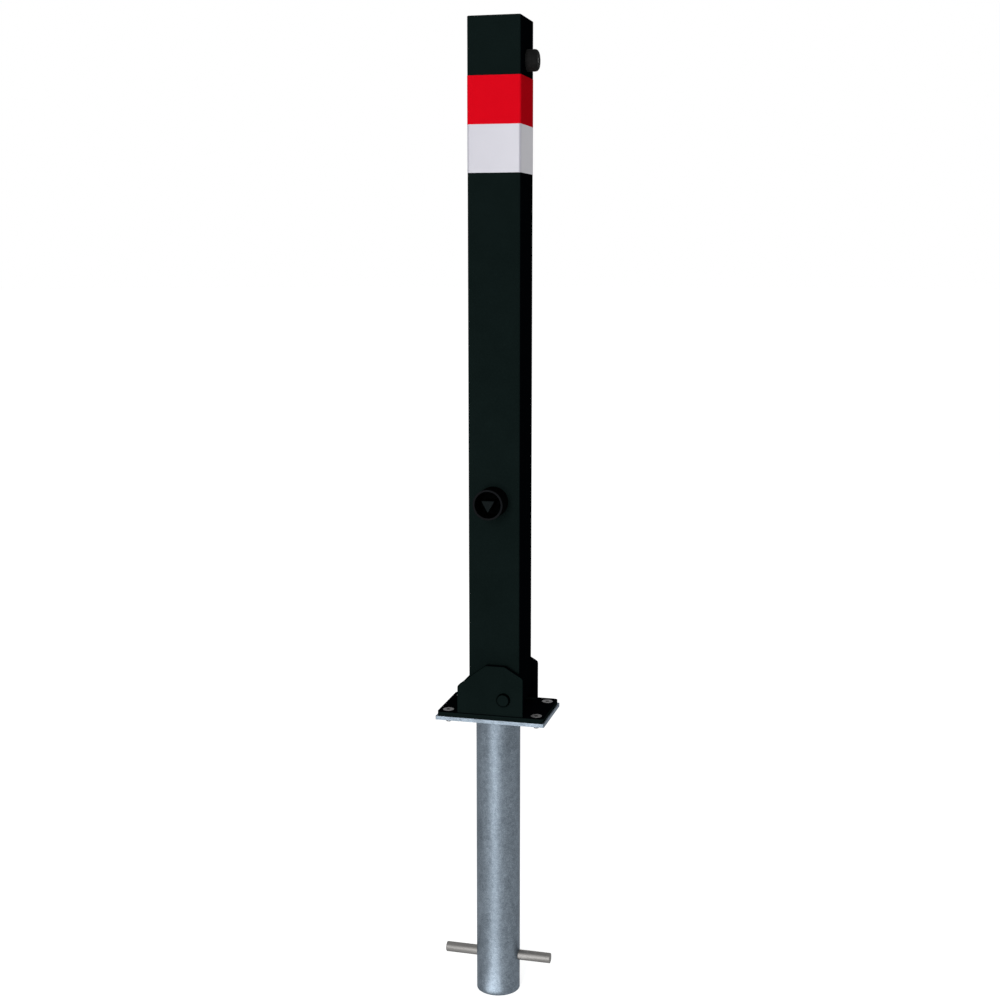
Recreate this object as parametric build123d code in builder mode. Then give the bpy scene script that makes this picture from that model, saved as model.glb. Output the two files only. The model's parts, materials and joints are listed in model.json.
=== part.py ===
from build123d import *
import os
from math import cos, hypot, radians, sin, sqrt

# A square steel post that folds flat on a ground socket.
# X is the folding direction, -Y the side of the key lock, and Z is up.
# The origin lies on the socket pipe's axis, in the flat underside of the socket's flange.

# Post: a square steel tube with a welded lid
post_size = 70.0
post_wall = 3.0
post_corner = 3.0
post_inner_corner = 1.0
post_height = 903.5
post_x = 3.0
cap_thickness = 3.0
cap_edge = 0.8

# Reflective bands, below the buffer
band_height = 60.0
band_gap = 6.45
film_thickness = 0.3

# Clearances
weld_gap = 0.05
running_gap = 0.05
side_play = 0.2
thread_gap = 0.05

# Ground socket: flange, pipe and cross bar
flange_thickness = 5.0
flange_corner = 1.5
flange_border = 1.75
pipe_diameter = 60.3
pipe_wall = 2.9
pipe_depth = 400.0
pipe_weld_recess = 2.0
anchor_diameter = 14.0
anchor_length = 150.0
anchor_height_above_end = 50.0
anchor_chamfer = 1.0

# Foot plate and its four countersunk screws
plate_thickness = 6.0
plate_corner = 5.5
plate_border = 1.75
screw_spacing_x = 122.0
screw_inset_x = 12.25
screw_inset_y = 14.25
screw_diameter = 8.0
screw_length = 17.0
screw_head_diameter = 16.0
screw_head_rim = 0.4
screw_end_chamfer = 0.8
screw_hole_play = 0.5
socket_width = 5.0
socket_depth = 3.0

# Hinge ears and the stop plate between them
ear_thickness = 8.0
ear_gap = 3.5
ear_height = 67.3
ear_left_shoulder = 37.4
ear_right_shoulder = 52.5
ear_flat_left = 9.0
ear_flat_right = 17.0
ear_right_border = 7.0
ear_left_border = 1.5
ear_rounding = 5.0
stop_thickness = 6.0
stop_height = 37.0
stop_clearance = 0.8

# Hinge bolt, its tube through the post, washers and nut
pin_height = 22.5
pin_inset = 19.0
bolt_diameter = 12.0
bolt_head_diameter = 18.0
bolt_head_height = 5.0
bolt_head_edge = 1.4
bolt_end = 2.0
bolt_chamfer = 1.0
hinge_tube_diameter = 20.0
toe_clearance = 0.5
spacer_diameter = 24.0
nut_washer_diameter = 24.0
nut_washer_thickness = 2.5
hinge_nut_width = 18.0
hinge_nut_height = 10.0
hinge_nut_corner_chamfer = 1.0
hexagon_corner = 1 / cos(radians(30))

# Key lock: collar, bush, triangular spindle, ring and crank
lock_height = 288.5
collar_diameter = 40.0
collar_wall = 2.5
collar_length = 33.0
collar_edge = 0.4
bush_wall = 2.95
bush_flange_thickness = 3.0
bush_inner_length = 3.0
spindle_diameter = 20.0
spindle_lead = 5.6
triangle_corner = 0.5
triangle_recess = 1.0
ring_thickness = 1.2
ring_height = 2.2
ring_mouth = 6.0
groove_depth = 1.0
shoulder_step = 2.5
crank_radius = 14.0
crank_thickness = 5.0
crank_hub_diameter = 26.0
crank_eye_diameter = 16.0
crank_stub_diameter = 14.0
crank_rest_angle = 45.0
crank_pin_diameter = 8.0
crank_pin_tail = 1.5
crank_pin_chamfer = 0.6

# Locking bar, its guides and the slot that it drops into
bar_thickness = 8.0
bar_offset_y = 9.8
bar_pipe_play = 2.05
bar_lift = 2.0
bar_head = 15.0
bar_nose = 2.0
bar_gap = 3.0
yoke_play = 0.55
yoke_end_play = 0.3
guide_thickness = 5.0
guide_play = 0.3
lower_guide_height = 55.0
upper_guide_height = 235.0
plate_slot_play = 2.0
plate_slot_corner = 1.0

# Rubber buffer that meets the ground when the post lies flat, measured down from the top of the post
buffer_drop = 52.5
buffer_diameter = 27.5
buffer_length = 15.0
buffer_rounding = 4.5
buffer_screw_diameter = 4.0
buffer_screw_head_diameter = 7.0
buffer_screw_head_height = 4.0
buffer_screw_recess = 0.5
buffer_screw_play = 0.25
buffer_screw_tail = 2.0
buffer_socket_width = 3.0
buffer_socket_depth = 2.0
buffer_nut_width = 7.0
buffer_nut_height = 3.2

# Levels
plate_bottom = flange_thickness
plate_top = plate_bottom + plate_thickness
post_top = plate_top + post_height
cap_bottom = post_top - cap_thickness
pin_z = plate_top + pin_height
lock_z = plate_top + lock_height
buffer_z = post_top - buffer_drop
anchor_z = anchor_height_above_end - pipe_depth
red_top = buffer_z - buffer_diameter / 2 - band_gap
red_bottom = red_top - band_height
white_bottom = red_bottom - band_height

# Sizes that follow from others
screw_head_cone = (screw_head_diameter - screw_diameter) / 2
film_size = post_size + 2 * film_thickness
spacer_thickness = ear_gap - side_play
bush_diameter = spindle_diameter + 2 * (running_gap + bush_wall)
shoulder_radius = spindle_diameter / 2 + shoulder_step
buffer_recess_radius = buffer_screw_head_diameter / 2 + buffer_screw_play
buffer_bevel = buffer_rounding * (1 - cos(radians(45)))

# Post faces, hinge place and the reach of the post's heel as it swings
post_half = post_size / 2
post_inner = post_size - 2 * post_wall
post_inner_half = post_inner / 2
post_left = post_x - post_half
post_right = post_x + post_half
pin_x = post_right - pin_inset
heel_reach = hypot(pin_x - post_left, pin_height)
stop_inner_x = pin_x - heel_reach - stop_clearance
stop_outer_x = stop_inner_x - stop_thickness
toe_radius = pin_height - toe_clearance

# Ears stand outside the post on the foot plate
ear_inner_y = post_half + ear_gap
ear_outer_y = ear_inner_y + ear_thickness
ear_left_x = stop_outer_x - ear_left_border
ear_right_x = post_right + ear_right_border
ear_top_z = plate_top + ear_height
nut_front_y = ear_outer_y + nut_washer_thickness
bolt_length = bolt_head_height + 2 * ear_outer_y + nut_washer_thickness + hinge_nut_height + bolt_end

# Plates and their screw pattern
plate_length = screw_spacing_x + 2 * screw_inset_x
plate_width = 2 * (ear_outer_y + plate_border)
flange_length = plate_length + 2 * flange_border
flange_width = plate_width + 2 * flange_border
screw_spacing_y = plate_width - 2 * screw_inset_y
pipe_radius = pipe_diameter / 2

# Lock places along Y, from the front of the post inwards
front_plane = Plane.XZ.offset(post_half)
bush_front_y = -post_half - bush_flange_thickness
bush_back_y = -post_half + post_wall + bush_inner_length
collar_rim_y = -post_half - collar_length
triangle_end_y = collar_rim_y + triangle_recess
ring_back_y = bush_front_y - side_play
ring_front_y = ring_back_y - ring_thickness
triangle_start_y = ring_front_y - spindle_lead
shoulder_front_y = bush_back_y + side_play
bar_y = -bar_offset_y
bar_front_y = bar_y - bar_thickness / 2
bar_back_y = bar_y + bar_thickness / 2
crank_back_y = bar_front_y - bar_gap
crank_front_y = crank_back_y - crank_thickness

# The crank pin lies left of the spindle and swings as far below it as it stands above it
rest_angle = radians(crank_rest_angle)
crank_pin_x = post_x - crank_radius * cos(rest_angle)
crank_pin_z = lock_z + crank_radius * sin(rest_angle)
crank_sideways = crank_radius * (1 - cos(rest_angle))
bar_x = crank_pin_x - crank_sideways / 2
bar_reach = sqrt((pipe_radius - pipe_wall) ** 2 - bar_front_y**2) - bar_pipe_play
bar_width = 2 * (bar_reach + bar_x)
bar_bottom_z = plate_top + bar_lift
bar_top_z = crank_pin_z + bar_head
yoke_height = crank_pin_diameter + 2 * yoke_play
yoke_travel = crank_sideways + 2 * yoke_end_play
guide_size = post_inner - 2 * weld_gap

# Buffer places along X
buffer_end_x = post_right + buffer_length
buffer_head_end_x = buffer_end_x - buffer_screw_recess
buffer_head_seat_x = buffer_head_end_x - buffer_screw_head_height
buffer_nut_outer_x = post_right - post_wall
buffer_nut_inner_x = buffer_nut_outer_x - buffer_nut_height
buffer_screw_end_x = buffer_nut_inner_x - buffer_screw_tail

pin_axis = Axis((pin_x, 0, pin_z), (0, 1, 0))
lock_axis = Axis((post_x, 0, lock_z), (0, 1, 0))
buffer_axis = Axis((0, 0, buffer_z), (1, 0, 0))
screw_places = GridLocations(screw_spacing_x, screw_spacing_y, 2, 2)

os.makedirs("parts", exist_ok=True)

# Socket pipe, with two cross holes for the anchor bar
with BuildPart() as sleeve_pipe:
    with BuildSketch(Plane.XY.offset(-pipe_depth)):
        Circle(pipe_radius)
        Circle(pipe_radius - pipe_wall, mode=Mode.SUBTRACT)
    extrude(amount=pipe_depth + flange_thickness - pipe_weld_recess)
    with BuildSketch(Plane.YZ):
        with Locations((0, anchor_z)):
            Circle(anchor_diameter / 2 + weld_gap)
    extrude(amount=pipe_diameter, both=True, mode=Mode.SUBTRACT)
sleeve_pipe.part.label = "sleeve_pipe"
export_step(sleeve_pipe.part, "parts/sleeve_pipe.step")

# Socket flange, bored for the pipe and tapped for the foot screws
with BuildPart() as sleeve_flange:
    with BuildSketch():
        RectangleRounded(flange_length, flange_width, flange_corner)
        Circle(pipe_radius + weld_gap, mode=Mode.SUBTRACT)
        with screw_places:
            Circle(screw_diameter / 2 + thread_gap, mode=Mode.SUBTRACT)
    extrude(amount=flange_thickness)
sleeve_flange.part.label = "sleeve_flange"
export_step(sleeve_flange.part, "parts/sleeve_flange.step")

# Round bar through the pipe's end that holds the socket in the concrete
with BuildPart() as anchor_bar:
    with BuildSketch(Plane.YZ):
        with Locations((0, anchor_z)):
            Circle(anchor_diameter / 2)
    extrude(amount=anchor_length / 2, both=True)
    chamfer(anchor_bar.faces().filter_by(Axis.X).edges(), anchor_chamfer)
anchor_bar.part.label = "anchor_bar"
export_step(anchor_bar.part, "parts/anchor_bar.step")

# Foot plate, with countersunk holes and the slot that the locking bar drops into
with BuildPart() as foot_plate:
    with BuildSketch(Plane.XY.offset(plate_bottom)):
        RectangleRounded(plate_length, plate_width, plate_corner)
        with Locations((bar_x, bar_y)):
            RectangleRounded(
                bar_width + 2 * plate_slot_play,
                bar_thickness + 2 * plate_slot_play,
                plate_slot_corner,
                mode=Mode.SUBTRACT,
            )
    extrude(amount=plate_thickness)
    with Locations(Plane.XY.offset(plate_top)):
        with screw_places:
            CounterSinkHole(
                screw_diameter / 2 + screw_hole_play,
                screw_head_diameter / 2 + screw_head_rim,
            )
foot_plate.part.label = "foot_plate"
export_step(foot_plate.part, "parts/foot_plate.step")

# Front hinge ear: a plate with one high and one low shoulder
with BuildPart() as front_ear:
    with BuildSketch(Plane.XZ.offset(ear_inner_y)) as ear_outline:
        with BuildLine():
            Polyline(
                (ear_left_x, plate_top),
                (ear_left_x, plate_top + ear_left_shoulder),
                (post_x - ear_flat_left, ear_top_z),
                (post_x + ear_flat_right, ear_top_z),
                (ear_right_x, plate_top + ear_right_shoulder),
                (ear_right_x, plate_top),
                close=True,
            )
        make_face()
        fillet(ear_outline.vertices().sort_by(Axis.Y)[2:], ear_rounding)
        with Locations((pin_x, pin_z)):
            Circle(bolt_diameter / 2 + running_gap, mode=Mode.SUBTRACT)
    extrude(amount=ear_thickness)
front_ear.part.label = "front_ear"
export_step(front_ear.part, "parts/front_ear.step")

# Rear hinge ear, the mirror image of the front one
with BuildPart() as rear_ear:
    add(front_ear.part)
    mirror(about=Plane.XZ, mode=Mode.REPLACE)
rear_ear.part.label = "rear_ear"
export_step(rear_ear.part, "parts/rear_ear.step")

# Stop plate between the ears, just clear of the heel of the post as it swings
with BuildPart() as stop_plate:
    with BuildSketch(Plane.XY.offset(plate_top)):
        with Locations((stop_inner_x, 0)):
            Rectangle(stop_thickness, 2 * ear_inner_y, align=(Align.MAX, Align.CENTER))
    extrude(amount=stop_height)
stop_plate.part.label = "stop_plate"
export_step(stop_plate.part, "parts/stop_plate.step")

# One foot screw: countersunk head, shank and hexagon socket
with BuildPart() as one_foot_screw:
    with BuildSketch(Plane.XZ) as screw_profile:
        with BuildLine():
            Polyline(
                (0, plate_top),
                (screw_head_diameter / 2, plate_top),
                (screw_head_diameter / 2, plate_top - screw_head_rim),
                (screw_diameter / 2, plate_top - screw_head_rim - screw_head_cone),
                (screw_diameter / 2, plate_top - screw_length + screw_end_chamfer),
                (screw_diameter / 2 - screw_end_chamfer, plate_top - screw_length),
                (0, plate_top - screw_length),
                close=True,
            )
        make_face()
    revolve(axis=Axis.Z)
    with BuildSketch(Plane.XY.offset(plate_top)):
        RegularPolygon(socket_width / 2, 6, major_radius=False)
    extrude(amount=-socket_depth, mode=Mode.SUBTRACT)

# The four foot screws
with BuildPart() as foot_screws:
    with screw_places:
        add(one_foot_screw.part)
foot_screws.part.label = "foot_screws"
export_step(foot_screws.part, "parts/foot_screws.step")

# Hinge bolt: low round head on the front ear, shank through both ears
with BuildPart() as hinge_bolt:
    with BuildSketch(Plane.XZ.offset(ear_outer_y)):
        with Locations((pin_x, pin_z)):
            Circle(bolt_head_diameter / 2)
    extrude(amount=bolt_head_height)
    chamfer(hinge_bolt.faces().sort_by(Axis.Y)[0].edges(), bolt_head_edge)
    with BuildSketch(Plane.XZ.offset(ear_outer_y)):
        with Locations((pin_x, pin_z)):
            Circle(bolt_diameter / 2)
    extrude(amount=bolt_head_height - bolt_length)
    chamfer(hinge_bolt.faces().sort_by(Axis.Y)[-1].edges(), bolt_chamfer)
hinge_bolt.part.label = "hinge_bolt"
export_step(hinge_bolt.part, "parts/hinge_bolt.step")

# Two spacer washers that keep the post clear of the ears
with BuildPart() as spacer_washers:
    for spacer_start_y in (-ear_inner_y, ear_inner_y - spacer_thickness):
        with BuildSketch(Plane.XZ.offset(-spacer_start_y)):
            with Locations((pin_x, pin_z)):
                Circle(spacer_diameter / 2)
                Circle(bolt_diameter / 2 + running_gap, mode=Mode.SUBTRACT)
        extrude(amount=-spacer_thickness)
spacer_washers.part.label = "spacer_washers"
export_step(spacer_washers.part, "parts/spacer_washers.step")

# Flat washer under the nut at the rear ear
with BuildPart() as nut_washer:
    with BuildSketch(Plane.XZ.offset(-ear_outer_y)):
        with Locations((pin_x, pin_z)):
            Circle(nut_washer_diameter / 2)
            Circle(bolt_diameter / 2 + running_gap, mode=Mode.SUBTRACT)
    extrude(amount=-nut_washer_thickness)
nut_washer.part.label = "nut_washer"
export_step(nut_washer.part, "parts/nut_washer.step")

# Hexagon nut with its corners turned off
with BuildPart() as hinge_nut:
    with BuildSketch(Plane.XZ.offset(-nut_front_y)):
        with Locations((pin_x, pin_z)):
            Circle(hinge_nut_width / 2 * hexagon_corner)
    extrude(amount=-hinge_nut_height)
    chamfer(hinge_nut.edges(), hinge_nut_corner_chamfer)
    with BuildSketch(Plane.XZ.offset(-nut_front_y)):
        with Locations((pin_x, pin_z)):
            RegularPolygon(hinge_nut_width / 2, 6, major_radius=False)
            Circle(bolt_diameter / 2 + thread_gap, mode=Mode.SUBTRACT)
    extrude(amount=-hinge_nut_height, mode=Mode.INTERSECT)
hinge_nut.part.label = "hinge_nut"
export_step(hinge_nut.part, "parts/hinge_nut.step")

# Post tube, with its toe rounded about the hinge so that it turns clear of the foot plate
with BuildPart() as post_tube:
    with BuildSketch(Plane.XY.offset(plate_top)):
        with Locations((post_x, 0)):
            RectangleRounded(post_size, post_size, post_corner)
            RectangleRounded(post_inner, post_inner, post_inner_corner, mode=Mode.SUBTRACT)
    extrude(amount=post_height - cap_thickness)
    with BuildSketch(Plane.XZ):
        with Locations((pin_x, pin_z)):
            Rectangle(2 * pin_inset, 2 * pin_height, align=(Align.MIN, Align.MAX))
            Circle(toe_radius, mode=Mode.SUBTRACT)
    extrude(amount=post_size, both=True, mode=Mode.SUBTRACT)
    with BuildSketch(Plane.XZ):
        with Locations((pin_x, pin_z)):
            Circle(hinge_tube_diameter / 2 + weld_gap)
    extrude(amount=post_size, both=True, mode=Mode.SUBTRACT)
    with BuildSketch(front_plane):
        with Locations((post_x, lock_z)):
            Circle(bush_diameter / 2 + weld_gap)
    extrude(amount=-post_wall, mode=Mode.SUBTRACT)
    with BuildSketch(Plane.YZ.offset(post_right)):
        with Locations((0, buffer_z)):
            Circle(buffer_screw_diameter / 2 + buffer_screw_play)
    extrude(amount=-post_wall, mode=Mode.SUBTRACT)
post_tube.part.label = "post_tube"
export_step(post_tube.part, "parts/post_tube.step")

# Lid of the post, welded on, with its edge broken
with BuildPart() as top_cap:
    with BuildSketch(Plane.XY.offset(cap_bottom)):
        with Locations((post_x, 0)):
            RectangleRounded(post_size, post_size, post_corner)
    extrude(amount=cap_thickness)
    chamfer(top_cap.faces().sort_by(Axis.Z)[-1].edges(), cap_edge)
top_cap.part.label = "top_cap"
export_step(top_cap.part, "parts/top_cap.step")

# Bearing tube through both walls of the post
with BuildPart() as hinge_tube:
    with BuildSketch(Plane.XZ):
        with Locations((pin_x, pin_z)):
            Circle(hinge_tube_diameter / 2)
            Circle(bolt_diameter / 2 + running_gap, mode=Mode.SUBTRACT)
    extrude(amount=post_half, both=True)
hinge_tube.part.label = "hinge_tube"
export_step(hinge_tube.part, "parts/hinge_tube.step")

# Red reflective band round all four sides
with BuildPart() as red_band:
    with BuildSketch(Plane.XY.offset(red_bottom)):
        with Locations((post_x, 0)):
            RectangleRounded(film_size, film_size, post_corner + film_thickness)
            RectangleRounded(post_size, post_size, post_corner, mode=Mode.SUBTRACT)
    extrude(amount=band_height)
red_band.part.label = "red_band"
export_step(red_band.part, "parts/red_band.step")

# White reflective band below the red one
with BuildPart() as white_band:
    with BuildSketch(Plane.XY.offset(white_bottom)):
        with Locations((post_x, 0)):
            RectangleRounded(film_size, film_size, post_corner + film_thickness)
            RectangleRounded(post_size, post_size, post_corner, mode=Mode.SUBTRACT)
    extrude(amount=band_height)
white_band.part.label = "white_band"
export_step(white_band.part, "parts/white_band.step")

# Collar that guards the key spindle
with BuildPart() as lock_collar:
    with BuildSketch(front_plane):
        with Locations((post_x, lock_z)):
            Circle(collar_diameter / 2)
            Circle(collar_diameter / 2 - collar_wall, mode=Mode.SUBTRACT)
    extrude(amount=collar_length)
    chamfer(lock_collar.faces().sort_by(Axis.Y)[0].edges().sort_by(SortBy.LENGTH)[-1:], collar_edge)
lock_collar.part.label = "lock_collar"
export_step(lock_collar.part, "parts/lock_collar.step")

# Flanged bush that the spindle turns in
with BuildPart() as lock_bush:
    with BuildSketch(front_plane):
        with Locations((post_x, lock_z)):
            Circle(collar_diameter / 2 - collar_wall - weld_gap)
    extrude(amount=bush_flange_thickness)
    with BuildSketch(front_plane):
        with Locations((post_x, lock_z)):
            Circle(bush_diameter / 2)
    extrude(amount=-post_wall - bush_inner_length)
    with BuildSketch(Plane.XZ):
        with Locations((post_x, lock_z)):
            Circle(spindle_diameter / 2 + running_gap)
    extrude(amount=post_size, mode=Mode.SUBTRACT)
lock_bush.part.label = "lock_bush"
export_step(lock_bush.part, "parts/lock_bush.step")

# Key spindle: triangular end, shank with a ring groove, shoulder and stub for the crank
with BuildPart() as lock_spindle:
    with BuildSketch(Plane.XY.offset(lock_z)) as shank_profile:
        with BuildLine():
            Polyline(
                (post_x, triangle_start_y),
                (post_x + spindle_diameter / 2, triangle_start_y),
                (post_x + spindle_diameter / 2, ring_front_y),
                (post_x + spindle_diameter / 2 - groove_depth, ring_front_y),
                (post_x + spindle_diameter / 2 - groove_depth, ring_back_y),
                (post_x + spindle_diameter / 2, ring_back_y),
                (post_x + spindle_diameter / 2, shoulder_front_y),
                (post_x + shoulder_radius, shoulder_front_y),
                (post_x + shoulder_radius, crank_front_y),
                (post_x + crank_stub_diameter / 2, crank_front_y),
                (post_x + crank_stub_diameter / 2, crank_back_y),
                (post_x, crank_back_y),
                close=True,
            )
        make_face()
    revolve(axis=lock_axis)
    with BuildSketch(Plane.XZ.offset(-triangle_start_y)) as triangle_outline:
        with Locations((post_x, lock_z)):
            RegularPolygon(spindle_diameter / 2, 3, rotation=-90)
        fillet(triangle_outline.vertices(), triangle_corner)
    extrude(amount=triangle_start_y - triangle_end_y)
lock_spindle.part.label = "lock_spindle"
export_step(lock_spindle.part, "parts/lock_spindle.step")

# Open retaining ring in the spindle's groove
with BuildPart() as spindle_ring:
    with BuildSketch(Plane.XZ.offset(-ring_back_y)):
        with Locations((post_x, lock_z)):
            Circle(spindle_diameter / 2 - groove_depth + ring_height)
            Circle(spindle_diameter / 2 - groove_depth, mode=Mode.SUBTRACT)
            Rectangle(ring_mouth, spindle_diameter, align=(Align.CENTER, Align.MAX), mode=Mode.SUBTRACT)
    extrude(amount=ring_thickness)
spindle_ring.part.label = "spindle_ring"
export_step(spindle_ring.part, "parts/spindle_ring.step")

# Crank lever on the inner end of the spindle
with BuildPart() as crank_lever:
    with BuildSketch(Plane.XZ.offset(-crank_front_y)):
        with Locations((post_x, lock_z)):
            Circle(crank_hub_diameter / 2)
        with Locations((crank_pin_x, crank_pin_z)):
            Circle(crank_eye_diameter / 2)
        make_hull()
        with Locations((post_x, lock_z)):
            Circle(crank_stub_diameter / 2 + weld_gap, mode=Mode.SUBTRACT)
        with Locations((crank_pin_x, crank_pin_z)):
            Circle(crank_pin_diameter / 2 + weld_gap, mode=Mode.SUBTRACT)
    extrude(amount=-crank_thickness)
crank_lever.part.label = "crank_lever"
export_step(crank_lever.part, "parts/crank_lever.step")

# Crank pin, riveted into the lever and reaching through the bar
with BuildPart() as crank_pin:
    with BuildSketch(Plane.XZ.offset(-crank_front_y)):
        with Locations((crank_pin_x, crank_pin_z)):
            Circle(crank_pin_diameter / 2)
    extrude(amount=crank_front_y - bar_back_y - crank_pin_tail)
    chamfer(crank_pin.faces().sort_by(Axis.Y)[-1].edges(), crank_pin_chamfer)
crank_pin.part.label = "crank_pin"
export_step(crank_pin.part, "parts/crank_pin.step")

# Locking bar: a flat bar with a pointed nose and a cross slot for the crank pin
with BuildPart() as locking_bar:
    with BuildSketch(Plane.XZ.offset(-bar_y)):
        with Locations((bar_x, bar_bottom_z)):
            Rectangle(bar_width, bar_top_z - bar_bottom_z, align=(Align.CENTER, Align.MIN))
        with Locations((bar_x, crank_pin_z)):
            SlotCenterToCenter(yoke_travel, yoke_height, mode=Mode.SUBTRACT)
    extrude(amount=bar_thickness / 2, both=True)
    chamfer(locking_bar.faces().sort_by(Axis.Z)[0].edges(), bar_nose)
locking_bar.part.label = "locking_bar"
export_step(locking_bar.part, "parts/locking_bar.step")

# Slotted plate across the post that guides the bar above the hinge tube
with BuildPart() as lower_guide:
    with BuildSketch(Plane.XY.offset(plate_top + lower_guide_height)):
        with Locations((post_x, 0)):
            RectangleRounded(guide_size, guide_size, post_inner_corner)
        with Locations((bar_x, bar_y)):
            Rectangle(bar_width + 2 * guide_play, bar_thickness + 2 * guide_play, mode=Mode.SUBTRACT)
    extrude(amount=guide_thickness)
lower_guide.part.label = "lower_guide"
export_step(lower_guide.part, "parts/lower_guide.step")

# The same plate again, just below the crank
with BuildPart() as upper_guide:
    with Locations((0, 0, upper_guide_height - lower_guide_height)):
        add(lower_guide.part)
upper_guide.part.label = "upper_guide"
export_step(upper_guide.part, "parts/upper_guide.step")

# Rubber buffer, with a recess for its screw
with BuildPart() as buffer:
    with BuildSketch(Plane.XZ):
        with BuildLine():
            Polyline(
                (post_right, buffer_z + buffer_screw_diameter / 2 + buffer_screw_play),
                (post_right, buffer_z + buffer_diameter / 2),
                (buffer_end_x - buffer_rounding, buffer_z + buffer_diameter / 2),
                (buffer_end_x - buffer_bevel, buffer_z + buffer_diameter / 2 - buffer_bevel),
                (buffer_end_x, buffer_z + buffer_diameter / 2 - buffer_rounding),
                (buffer_end_x, buffer_z + buffer_recess_radius),
                (buffer_head_seat_x, buffer_z + buffer_recess_radius),
                (buffer_head_seat_x, buffer_z + buffer_screw_diameter / 2 + buffer_screw_play),
                close=True,
            )
        make_face()
    revolve(axis=buffer_axis)
buffer.part.label = "buffer"
export_step(buffer.part, "parts/buffer.step")

# Cylinder-head screw that holds the buffer
with BuildPart() as buffer_screw:
    with BuildSketch(Plane.YZ.offset(buffer_head_seat_x)):
        with Locations((0, buffer_z)):
            Circle(buffer_screw_head_diameter / 2)
    extrude(amount=buffer_screw_head_height)
    with BuildSketch(Plane.YZ.offset(buffer_head_end_x)):
        with Locations((0, buffer_z)):
            RegularPolygon(buffer_socket_width / 2, 6, major_radius=False)
    extrude(amount=-buffer_socket_depth, mode=Mode.SUBTRACT)
    with BuildSketch(Plane.YZ.offset(buffer_head_seat_x)):
        with Locations((0, buffer_z)):
            Circle(buffer_screw_diameter / 2)
    extrude(amount=buffer_screw_end_x - buffer_head_seat_x)
buffer_screw.part.label = "buffer_screw"
export_step(buffer_screw.part, "parts/buffer_screw.step")

# Nut behind the post's right wall
with BuildPart() as buffer_nut:
    with BuildSketch(Plane.YZ.offset(buffer_nut_outer_x)):
        with Locations((0, buffer_z)):
            RegularPolygon(buffer_nut_width / 2, 6, major_radius=False)
            Circle(buffer_screw_diameter / 2 + thread_gap, mode=Mode.SUBTRACT)
    extrude(amount=-buffer_nut_height)
buffer_nut.part.label = "buffer_nut"
export_step(buffer_nut.part, "parts/buffer_nut.step")
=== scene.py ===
import json
import math

import bmesh
import bpy
from mathutils import Matrix, Vector


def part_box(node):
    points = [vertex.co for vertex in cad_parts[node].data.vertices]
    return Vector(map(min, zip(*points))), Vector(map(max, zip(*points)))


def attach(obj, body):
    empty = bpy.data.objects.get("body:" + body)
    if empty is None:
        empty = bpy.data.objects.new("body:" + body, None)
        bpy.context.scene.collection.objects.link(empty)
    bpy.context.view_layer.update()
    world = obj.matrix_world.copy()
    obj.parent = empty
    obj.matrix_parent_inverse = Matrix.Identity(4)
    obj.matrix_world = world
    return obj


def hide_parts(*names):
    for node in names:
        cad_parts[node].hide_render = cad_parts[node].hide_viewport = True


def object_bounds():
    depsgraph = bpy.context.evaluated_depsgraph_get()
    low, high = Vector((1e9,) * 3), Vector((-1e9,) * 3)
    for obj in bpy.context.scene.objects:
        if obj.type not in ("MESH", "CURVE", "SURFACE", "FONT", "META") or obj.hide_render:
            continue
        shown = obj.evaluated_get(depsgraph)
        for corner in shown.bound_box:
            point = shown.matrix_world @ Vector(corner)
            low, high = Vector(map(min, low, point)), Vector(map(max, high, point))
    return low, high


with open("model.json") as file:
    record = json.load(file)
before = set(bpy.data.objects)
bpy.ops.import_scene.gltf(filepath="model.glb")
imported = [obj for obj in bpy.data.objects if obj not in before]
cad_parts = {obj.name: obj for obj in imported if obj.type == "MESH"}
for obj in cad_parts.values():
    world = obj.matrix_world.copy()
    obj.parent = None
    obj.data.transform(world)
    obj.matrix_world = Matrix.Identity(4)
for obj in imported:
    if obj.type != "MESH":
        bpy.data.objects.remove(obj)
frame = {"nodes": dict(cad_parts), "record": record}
cad_low, cad_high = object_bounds()

MM = 0.001
FULL_TURN = 2 * math.pi
X_AXIS = Vector((1, 0, 0))
Y_AXIS = Vector((0, 1, 0))
Z_AXIS = Vector((0, 0, 1))
WHITE = (1, 1, 1, 1)

# Places on the bollard, read from its solids
post_low, post_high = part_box("post_tube")
plate_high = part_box("foot_plate")[1]
flange_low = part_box("sleeve_flange")[0]
ear_low, ear_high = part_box("front_ear")
rear_ear_low, rear_ear_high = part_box("rear_ear")
stop_low, stop_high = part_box("stop_plate")
pipe_low, pipe_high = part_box("sleeve_pipe")
anchor_low, anchor_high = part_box("anchor_bar")
bolt_low, bolt_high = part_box("hinge_bolt")
collar_low, collar_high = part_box("lock_collar")
spindle_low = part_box("lock_spindle")[0]
buffer_low, buffer_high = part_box("buffer")
buffer_screw_low, buffer_screw_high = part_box("buffer_screw")
red_low, red_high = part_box("red_band")
white_low, white_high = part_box("white_band")
screws_low, screws_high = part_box("foot_screws")

post_x = (post_low.x + post_high.x) / 2
pin_x = (bolt_low.x + bolt_high.x) / 2
pin_z = (bolt_low.z + bolt_high.z) / 2
bolt_head_radius = (bolt_high.x - bolt_low.x) / 2
collar_radius = (collar_high.x - collar_low.x) / 2
lock_z = (collar_low.z + collar_high.z) / 2
buffer_z = (buffer_low.z + buffer_high.z) / 2
anchor_z = (anchor_low.z + anchor_high.z) / 2

# Foot screws: the solids' heads fill their seats, and the real heads are a little smaller
SCREW_SEAT_RADIUS = 8.0 * MM
SCREW_HEAD_RADIUS = 7.5 * MM
SCREW_SOCKET_HALF_WIDTH = 2.5 * MM
SCREW_SOCKET_DEPTH = 3.0 * MM

# Depth of the cone in a socket's floor, as a share of the socket's half width
SOCKET_CONE = 0.3

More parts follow.
